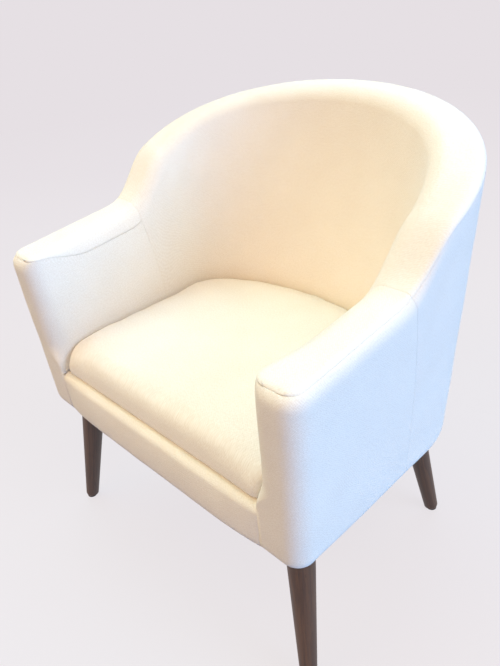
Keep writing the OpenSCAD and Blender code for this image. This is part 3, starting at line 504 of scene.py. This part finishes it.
def bake(piece):
    """Applies the piece's modifiers to its mesh."""
    seen = piece.evaluated_get(bpy.context.evaluated_depsgraph_get())
    piece.data = bpy.data.meshes.new_from_object(seen)
    piece.modifiers.clear()


# The cover is stuffed by air pressure, and then each point keeps only as much of its swelling as
# its place allows: most on the crown and the front, hardly any where it meets the walls and the deck.
remesh = cushion.modifiers.new("even mesh", "REMESH")
remesh.mode, remesh.voxel_size = "VOXEL", 0.006
bake(cushion)
start = points_of(cushion)
cloth = cushion.modifiers.new("stuffed cover", "CLOTH")
cloth.settings.use_pressure = True
cloth.settings.uniform_pressure_force = STUFFING
cloth.settings.effector_weights.gravity = 0
for number in range(1, 21):
    bpy.context.scene.frame_set(number)
bake(cushion)
bpy.context.scene.frame_set(1)
moved = points_of(cushion) - start
height = part(start[:, 2] * 1000, CUSHION_BASE, CUSHION_EDGE)
crown_side = ease(part(start[:, 2] * 1000, CUSHION_EDGE - 22, CUSHION_EDGE + 6))
front_side = ease(part(-start[:, 1], 0.24, 0.29))
most = between(PINNED, SWELL, np.maximum(crown_side, front_side * np.sin(math.pi * height) ** 0.7))
size = np.linalg.norm(moved, axis=1)
final = start + moved * np.minimum(1, most / np.maximum(size, 1e-9))[:, None]
final[:, 2] = np.maximum(final[:, 2], CUSHION_BASE / 1000)
inward = ease(part(430 - np.hypot(final[:, 0], final[:, 1] + 0.03) * 1000, 150, 230))
soft = rumple(final * 1000, 120, seed=5) * 1.6 + rumple(final * 1000, 45, seed=9) * 0.5
final[:, 2] += soft * crown_side * inward / 1000
cushion.data.vertices.foreach_set("co", final.astype(np.float32).ravel())
smooth = cushion.modifiers.new("even cloth", "SMOOTH")
smooth.factor, smooth.iterations = 0.5, 6
cushion.modifiers.new("fine cloth", "SUBSURF").levels = 1
bake(cushion)

# The cushion only touches the walls, so points that would sink into them are drawn clear.
NEAR_WALL, OFF_WALL = 0.012, 0.0008
dressed = points_of(cushion)
for wall in ("inside_back_upholstery", "left_arm_upholstery", "right_arm_upholstery"):
    tree = BVHTree.FromObject(bpy.data.objects[wall], bpy.context.evaluated_depsgraph_get())
    for i in np.nonzero(dressed[:, 2] < 0.45)[0]:
        hit, facing, *_ = tree.find_nearest(Vector(dressed[i]), NEAR_WALL)
        if hit is not None:
            clear = (Vector(dressed[i]) - hit).dot(facing)
            if abs(clear) < NEAR_WALL and clear < OFF_WALL and facing.z < 0.7:
                dressed[i] = hit + facing * OFF_WALL
cushion.data.vertices.foreach_set("co", dressed.astype(np.float32).ravel())
old = cushion.data.attributes.get("cloth_run")
if old is not None:
    cushion.data.attributes.remove(old)
keep_run(cushion.data, np.stack([dressed[:, 0], dressed[:, 1] - dressed[:, 2], 0 * dressed[:, 0]], -1))
cushion.data.materials.clear()
cushion.data.materials.append(cream_cloth)
cushion.data.shade_smooth()
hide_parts("cushion_cover", "cushion_base", "cushion_core")
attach(cushion, "cushion")


# Seat deck: a lining cloth stretched over the felt pad and stapled to the rails, which the loose
# cushion lies on. It shows only when the cushion is lifted out.
def plan_grid(depth, z, first_s, cell):
    """Points of a flat piece cut to the plan of the body, that far in from its outer face."""
    s = np.concatenate([[first_s], np.linspace(0, MIDDLE, 60)])
    edge = wall_spot(s, depth, z)
    y = np.linspace(edge[0][1], edge[-1][1] - 0.5, max(8, round((edge[-1][1] - edge[0][1]) / cell)))
    wide = np.interp(y, edge[:, 1], edge[:, 0])
    wide[-1] = max(wide[-1], 6)
    share = np.linspace(-1, 1, max(9, round(2 * wide[0] / cell)) | 1)
    level = np.full((len(y), len(share)), float(z))
    return np.stack([np.outer(wide, share), np.outer(y, np.ones_like(share)), level], -1)


def flat_sheet(name, spots, material, facing):
    """A flat piece from rows of points, which faces up (1) or down (-1)."""
    rows, columns = spots.shape[:2]
    at = np.arange(rows * columns).reshape(rows, columns)
    quads = np.stack([at[:-1, :-1], at[:-1, 1:], at[1:, 1:], at[1:, :-1]], -1).reshape(-1, 4)
    points = spots.reshape(-1, 3)
    return mesh_piece(name, points, quads[:, ::facing].tolist(), points, material)


# Unbleached cotton lining in a plain weave: matt, flat and slightly grey beside the wool.
lining = woven_cloth("unbleached_cotton_lining", "E6E0D2", "CFC7B6", 0.0014, 0.05)
deck_spots = plan_grid(depth=42.1, z=DECK_TOP - 1, first_s=ARM_FRONT + 46.4, cell=12)
deck_spots[..., 2] += 0.35 * rumple(deck_spots, 60)
deck = flat_sheet("seat_deck_lining", deck_spots, lining, 1)
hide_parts("seat_deck_cloth")
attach(deck, "chair")


# Felt pad: needled felt of mixed fibres between the springs and the deck, cut to the same plan. It
# is grey with pale and dark fibres in it, and dull all over.
def needled_felt(name, grey, fleck):
    made, tree = new_material(name)
    place = add(tree, "TexCoord", {}, {}).outputs["Object"]
    stretched = add(tree, "Mapping", {}, {"Vector": place, "Scale": (1, 3, 4)})
    fibres = add(tree, "TexNoise", {}, {"Vector": stretched.outputs[0], "Scale": 420, "Detail": 4,
                                        "Distortion": 1.5})
    fade = add(tree, "MapRange", {}, {0: fibres.outputs[0], 1: 0.35, 2: 0.7})
    colour = add(tree, "Mix", {"data_type": "RGBA"}, {0: fade.outputs[0], 6: linear(grey), 7: linear(fleck)})
    bump = add(tree, "Bump", {}, {"Strength": 0.6, "Distance": 0.0006, "Height": fibres.outputs[0]})
    skin = add(tree, "BsdfPrincipled", {}, {"Base Color": colour.outputs[2], "Roughness": 0.95,
                                            "Specular IOR Level": 0.15, "Normal": bump.outputs[0]})
    add(tree, "OutputMaterial", {}, {"Surface": skin.outputs[0]})
    return made


felt_spots = plan_grid(depth=42.2, z=365.6, first_s=ARM_FRONT + 46.6, cell=20)
grey_felt = needled_felt("grey_needled_felt", "6F6D6A", "9A9792")
felt = flat_sheet("seat_felt_pad_piece", felt_spots, grey_felt, 1)
thick = felt.modifiers.new("felt thickness", "SOLIDIFY")
thick.thickness, thick.offset = 0.0142, -1
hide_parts("seat_felt_pad")
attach(felt, "chair")


# Dust cover: a thin black spunbonded cloth stapled under the frame over the hems, which the leg
# bolts pass through. It is nearly black, dull, and dotted where its fibres are pressed together.
def spunbonded(name, black, dot):
    made, tree = new_material(name)
    place = add(tree, "TexCoord", {}, {}).outputs["Object"]
    dots = add(tree, "TexVoronoi", {"feature": "F1"}, {"Vector": place, "Scale": 420, "Randomness": 0.25})
    fade = add(tree, "MapRange", {}, {0: dots.outputs["Distance"], 1: 0.1, 2: 0.5})
    haze = add(tree, "TexNoise", {}, {"Vector": place, "Scale": 60, "Detail": 4})
    spread = add(tree, "Math", {"operation": "MULTIPLY"}, {0: fade.outputs[0], 1: haze.outputs[0]})
    colour = add(tree, "Mix", {"data_type": "RGBA"}, {0: spread.outputs[0], 6: linear(dot), 7: linear(black)})
    bump = add(tree, "Bump", {}, {"Strength": 0.4, "Distance": 0.0003, "Height": fade.outputs[0]})
    skin = add(tree, "BsdfPrincipled", {}, {"Base Color": colour.outputs[2], "Roughness": 0.8,
                                            "Specular IOR Level": 0.3, "Normal": bump.outputs[0]})
    add(tree, "OutputMaterial", {}, {"Surface": skin.outputs[0]})
    return made


dust_spots = plan_grid(depth=UNDER_ROUND + 0.5, z=267.2, first_s=ARM_FRONT + UNDER_ROUND + 0.5, cell=10)
DUST_SAG = 2.2
middle_way = 1 - np.abs(np.linspace(-1, 1, dust_spots.shape[1]))[None, :] ** 4
length_way = 1 - np.abs(np.linspace(-1, 1, dust_spots.shape[0]))[:, None] ** 4
dust_spots[..., 2] -= DUST_SAG * middle_way * length_way * (1 + 0.3 * rumple(dust_spots, 90))
dust_cloth = spunbonded("black_spunbonded_cloth", "17171A", "303036")
dust = flat_sheet("dust_cover_sheet", dust_spots, dust_cloth, -1)
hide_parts("dust_cover")
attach(dust, "chair")


# Frame: steam-bent and sawn beech rails, posts and blocks, doweled and glued, all hidden under the
# covers. Bare planed beech is pale pinkish tan with short dark flecks along the grain.
def planed_wood(name, light, dark, fleck, grain_axis, turn=(0, 0, 0), rough=0.6, gloss=0.0):
    """Wood whose rings and pores run along one axis, after the piece's own turn is taken out."""
    made, tree = new_material(name)
    place = add(tree, "TexCoord", {}, {}).outputs["Object"]
    turned = add(tree, "Mapping", {"vector_type": "TEXTURE"}, {"Vector": place, "Rotation": turn})
    scale = [1.0, 1.0, 1.0]
    scale[grain_axis] = 0.06
    drawn = add(tree, "Mapping", {}, {"Vector": turned.outputs[0], "Scale": scale})
    rings = add(tree, "TexNoise", {}, {"Vector": drawn.outputs[0], "Scale": 70, "Detail": 3, "Distortion": 0.6})
    bands = add(tree, "Math", {"operation": "MULTIPLY"}, {0: rings.outputs[0], 1: 26})
    wave = add(tree, "Math", {"operation": "SINE"}, {0: bands.outputs[0]})
    soft_wave = add(tree, "MapRange", {}, {0: wave.outputs[0], 1: -1, 2: 1})
    colour = add(tree, "Mix", {"data_type": "RGBA"}, {0: soft_wave.outputs[0], 6: linear(dark), 7: linear(light)})
    pores = add(tree, "TexNoise", {}, {"Vector": drawn.outputs[0], "Scale": 900, "Detail": 2})
    marks = add(tree, "MapRange", {}, {0: pores.outputs[0], 1: 0.6, 2: 0.72, 4: 0.65})
    flecked = add(tree, "Mix", {"data_type": "RGBA"}, {0: marks.outputs[0], 6: colour.outputs[2], 7: linear(fleck)})
    shine = add(tree, "MapRange", {}, {0: rings.outputs[0], 3: rough - 0.07, 4: rough + 0.07})
    bump = add(tree, "Bump", {}, {"Strength": 0.25, "Distance": 0.0003, "Height": pores.outputs[0]})
    skin = add(tree, "BsdfPrincipled", {}, {"Base Color": flecked.outputs[2], "Roughness": shine.outputs[0],
                                            "Coat Weight": gloss, "Coat Roughness": 0.3, "Normal": bump.outputs[0]})
    add(tree, "OutputMaterial", {}, {"Surface": skin.outputs[0]})
    return made


def finish_node(name, material):
    """Gives a CAD node its material in place of the plain one."""
    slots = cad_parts[name].material_slots
    if not slots:
        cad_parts[name].data.materials.append(material)
    for each in slots:
        each.material = material


beech_across = planed_wood("planed_beech_across", "D9B48A", "C79C70", "8A5F3C", 0)
beech_deep = planed_wood("planed_beech_deep", "D6B086", "C4996D", "8A5F3C", 1)
beech_upright = planed_wood("planed_beech_upright", "DAB68C", "C89E72", "8A5F3C", 2)
for name in ("front_seat_rail", "back_seat_rail", "top_back_rail", "frame_dowels"):
    finish_node(name, beech_across)
for name in ("left_seat_rail", "right_seat_rail", "left_arm_rail", "right_arm_rail",
             "front_left_block", "front_right_block", "back_left_block", "back_right_block"):
    finish_node(name, beech_deep)
for name in ("left_front_post", "right_front_post", "left_side_post", "right_side_post",
             "left_rear_post", "right_rear_post", "centre_back_post"):
    finish_node(name, beech_upright)


# Lining boards: thin grey millboard tacked inside the arms and the back to carry the foam. It is
# dull, with a felted surface of paper fibres.
millboard = needled_felt("grey_millboard", "8C8478", "A59C8E")
for name in ("left_arm_board", "right_arm_board", "inside_back_board"):
    finish_node(name, millboard)


# Springs, clips and bolts: drawn and zinc-plated steel. The springs are dark and slightly oily, the
# clips and bolts are bright with a faint cloudy blue cast from the plating.
def plated_steel(name, bright, dull, rough):
    made, tree = new_material(name)
    place = add(tree, "TexCoord", {}, {}).outputs["Object"]
    cloud = add(tree, "TexNoise", {}, {"Vector": place, "Scale": 260, "Detail": 4})
    colour = add(tree, "Mix", {"data_type": "RGBA"}, {0: cloud.outputs[0], 6: linear(dull), 7: linear(bright)})
    shine = add(tree, "MapRange", {}, {0: cloud.outputs[0], 3: rough - 0.08, 4: rough + 0.1})
    skin = add(tree, "BsdfPrincipled", {}, {"Base Color": colour.outputs[2], "Metallic": 1.0,
                                            "Roughness": shine.outputs[0]})
    add(tree, "OutputMaterial", {}, {"Surface": skin.outputs[0]})
    return made


spring_wire = plated_steel("drawn_spring_wire", "8E9296", "5E6266", 0.4)
zinc = plated_steel("zinc_plated_steel", "C9CDD2", "A3A9B2", 0.32)
brass = plated_steel("turned_brass", "D8B468", "B08A42", 0.28)
for name in ("left_outer_spring", "left_inner_spring", "right_inner_spring", "right_outer_spring"):
    finish_node(name, spring_wire)
for name in ("spring_clips", "leg_bolts"):
    finish_node(name, zinc)
finish_node("threaded_inserts", brass)

# Legs: turned tapered walnut, stained dark and sealed with satin lacquer, each bolted into its
# corner block so that it splays outward. The grain runs down the leg, under a soft shine.
LEG_SPLAY, LEG_HIGH = 41, 266.5
LEG_TILT = math.atan(LEG_SPLAY * math.sqrt(2) / LEG_HIGH)
for name, across, ahead in (("front_left", -1, -1), ("front_right", 1, -1),
                            ("back_left", -1, 1), ("back_right", 1, 1)):
    heading = math.atan2(ahead, across)
    lean = (Matrix.Rotation(heading, 3, "Z") @ Matrix.Rotation(-LEG_TILT, 3, "Y")).to_euler()
    walnut = planed_wood("satin_walnut_" + name, "503421", "3F2618", "26190F", 2, lean, rough=0.5, gloss=0.1)
    finish_node(name + "_leg", walnut)


# Glides: black moulded polyethylene pads nailed under the legs. Smooth and slightly waxy, with the
# lower rim scuffed paler by the floor.
def moulded_plastic(name, black, scuff):
    made, tree = new_material(name)
    place = add(tree, "TexCoord", {}, {}).outputs["Object"]
    grain = add(tree, "TexNoise", {}, {"Vector": place, "Scale": 900, "Detail": 3})
    low = add(tree, "SeparateXYZ", {}, {0: place})
    rim = add(tree, "MapRange", {}, {0: low.outputs[2], 1: 0.0, 2: 0.0015, 3: 0.7, 4: 0.1})
    worn = add(tree, "Math", {"operation": "MULTIPLY"}, {0: rim.outputs[0], 1: grain.outputs[0]})
    colour = add(tree, "Mix", {"data_type": "RGBA"}, {0: worn.outputs[0], 6: linear(black), 7: linear(scuff)})
    bump = add(tree, "Bump", {}, {"Strength": 0.2, "Distance": 0.0002, "Height": grain.outputs[0]})
    skin = add(tree, "BsdfPrincipled", {}, {"Base Color": colour.outputs[2], "Roughness": 0.45,
                                            "Normal": bump.outputs[0]})
    add(tree, "OutputMaterial", {}, {"Surface": skin.outputs[0]})
    return made


glide_black = moulded_plastic("black_moulded_polyethylene", "1B1B1C", "5A5854")
for name in ("front_left", "front_right", "back_left", "back_right"):
    finish_node(name + "_glide", glide_black)


# Floor: pale seamless backdrop paper, lit so evenly that the chair's shadow is faint. It is a little
# lighter toward the front right, fades into the surroundings far off, and throws neither light nor
# shadow on the chair.
def backdrop_paper(name, near, far):
    made, tree = new_material(name)
    place = add(tree, "TexCoord", {}, {}).outputs["Object"]
    toward = add(tree, "VectorMath", {"operation": "DOT_PRODUCT"}, {0: place, 1: (0.748, -0.664, 0)})
    fade = add(tree, "MapRange", {}, {0: toward.outputs["Value"], 1: -2.5, 2: 0.6})
    colour = add(tree, "Mix", {"data_type": "RGBA"}, {0: fade.outputs[0], 6: linear(far), 7: linear(near)})
    grain = add(tree, "TexNoise", {}, {"Vector": place, "Scale": 600, "Detail": 2})
    rough = add(tree, "MapRange", {}, {0: grain.outputs[0], 3: 0.88, 4: 1})
    skin = add(tree, "BsdfPrincipled", {}, {"Base Color": colour.outputs[2], "Roughness": rough.outputs[0],
                                            "Specular IOR Level": 0.1})
    even = add(tree, "Emission", {}, {"Color": colour.outputs[2], "Strength": 1})
    out = add(tree, "VectorMath", {"operation": "LENGTH"}, {0: place})
    share = add(tree, "MapRange", {}, {0: out.outputs["Value"], 1: 1, 2: 4, 3: 0.88, 4: 1})
    both = add(tree, "MixShader", {}, {0: share.outputs[0], 1: skin.outputs[0], 2: even.outputs[0]})
    add(tree, "OutputMaterial", {}, {"Surface": both.outputs[0]})
    return made


floor_mesh = bpy.data.meshes.new("studio_floor")
floor_mesh.from_pydata([(-60, -60, 0), (60, -60, 0), (60, 60, 0), (-60, 60, 0)], [], [(0, 1, 2, 3)])
floor_mesh.materials.append(backdrop_paper("matt_backdrop_paper", "ECE8EB", "E6E0E4"))
floor = bpy.data.objects.new("studio_floor", floor_mesh)
bpy.context.scene.collection.objects.link(floor)
floor.visible_diffuse = floor.visible_shadow = False

# Camera: close to the front right corner of the chair, at head height, tipped a little to its left.
# Its angle, distance and lens were fitted to the chair's outline, seams and feet in the photograph.
CAMERA_TURN, CAMERA_RISE, CAMERA_ROLL = math.radians(48.402), math.radians(31.406), math.radians(-5.785)
aim, away = Vector((-0.02125, -0.02861, 0.41683)), 1.21048
back = Vector((math.sin(CAMERA_TURN) * math.cos(CAMERA_RISE),
               -math.cos(CAMERA_TURN) * math.cos(CAMERA_RISE), math.sin(CAMERA_RISE)))
level = Vector((math.cos(CAMERA_TURN), math.sin(CAMERA_TURN), 0))
upright = back.cross(level)
right = math.cos(CAMERA_ROLL) * level + math.sin(CAMERA_ROLL) * upright
up = -math.sin(CAMERA_ROLL) * level + math.cos(CAMERA_ROLL) * upright
camera = bpy.data.objects.new("camera", bpy.data.cameras.new("camera"))
camera.matrix_world = Matrix.Translation(aim + back * away) @ Matrix((right, up, back)).transposed().to_4x4()
camera.data.lens, camera.data.sensor_width = 35.305, 36
bpy.context.scene.collection.objects.link(camera)
bpy.context.scene.camera = camera


# Light: six wide soft lamps, warm from the front and the upper right, cool from high left and from
# behind, and blue as daylight low on the right, in a dim room that is pale at eye level and blue low
# on the right. Their strengths were fitted to the shading in the photograph.
def soft_sun(name, colour, strength, wide, turn, rise):
    """A lamp as wide as that angle, turned that far to the right of the front and raised that far, in degrees."""
    lamp = bpy.data.lights.new(name, "SUN")
    lamp.color, lamp.energy, lamp.angle = linear(colour)[:3], strength, math.radians(wide)
    made = bpy.data.objects.new(name, lamp)
    turn, rise = math.radians(turn), math.radians(rise)
    toward = Vector((math.sin(turn) * math.cos(rise), -math.cos(turn) * math.cos(rise), math.sin(rise)))
    made.rotation_euler = toward.to_track_quat("Z", "Y").to_euler()
    bpy.context.scene.collection.objects.link(made)


soft_sun("window_light", "ACD2FF", 2.73, 40, 105, 18)
soft_sun("front_lamp", "FFC58D", 0.99, 50, 0, 35)
soft_sun("front_left_lamp", "FFE387", 0.83, 50, -45, 40)
soft_sun("high_left_lamp", "A0FFFF", 0.66, 40, -90, 62)
soft_sun("high_right_lamp", "FFECC4", 0.92, 40, 90, 62)
soft_sun("high_back_lamp", "C8E3FF", 1.3, 40, -135, 62)
surround = bpy.data.worlds.new("surround")
surround.use_nodes = True
sky = surround.node_tree
way = add(sky, "SeparateXYZ", {}, {0: add(sky, "TexCoord", {}, {}).outputs["Generated"]})
across = add(sky, "MapRange", {"interpolation_type": "SMOOTHSTEP"}, {0: way.outputs[0], 1: -0.2, 2: 0.7})
walls = add(sky, "Mix", {"data_type": "RGBA"}, {0: across.outputs[0], 6: linear("CECACB"), 7: linear("CBCACE")})
rise = add(sky, "MapRange", {"interpolation_type": "SMOOTHSTEP"}, {0: way.outputs[2], 1: 0.3, 2: 0.9})
room = add(sky, "Mix", {"data_type": "RGBA"}, {0: rise.outputs[0], 6: walls.outputs[2], 7: linear("595959")})
eye_level = add(sky, "MapRange", {"interpolation_type": "SMOOTHSTEP"}, {0: way.outputs[2], 1: 0.04, 2: 0.22})
seen = add(sky, "Mix", {"data_type": "RGBA"}, {0: eye_level.outputs[0], 6: linear("E7E2E8"), 7: room.outputs[2]})
ground = add(sky, "Mix", {"data_type": "RGBA"}, {0: across.outputs[0], 6: linear("000000"), 7: linear("007ECD")})
above = add(sky, "MapRange", {"interpolation_type": "SMOOTHSTEP"}, {0: way.outputs[2], 1: -0.1, 2: -0.03})
whole = add(sky, "Mix", {"data_type": "RGBA"}, {0: above.outputs[0], 6: ground.outputs[2], 7: seen.outputs[2]})
sky.links.new(whole.outputs[2], sky.nodes["Background"].inputs[0])
sky.nodes["Background"].inputs[1].default_value = 1
bpy.context.scene.world = surround
bpy.context.scene.view_settings.view_transform = "Standard"
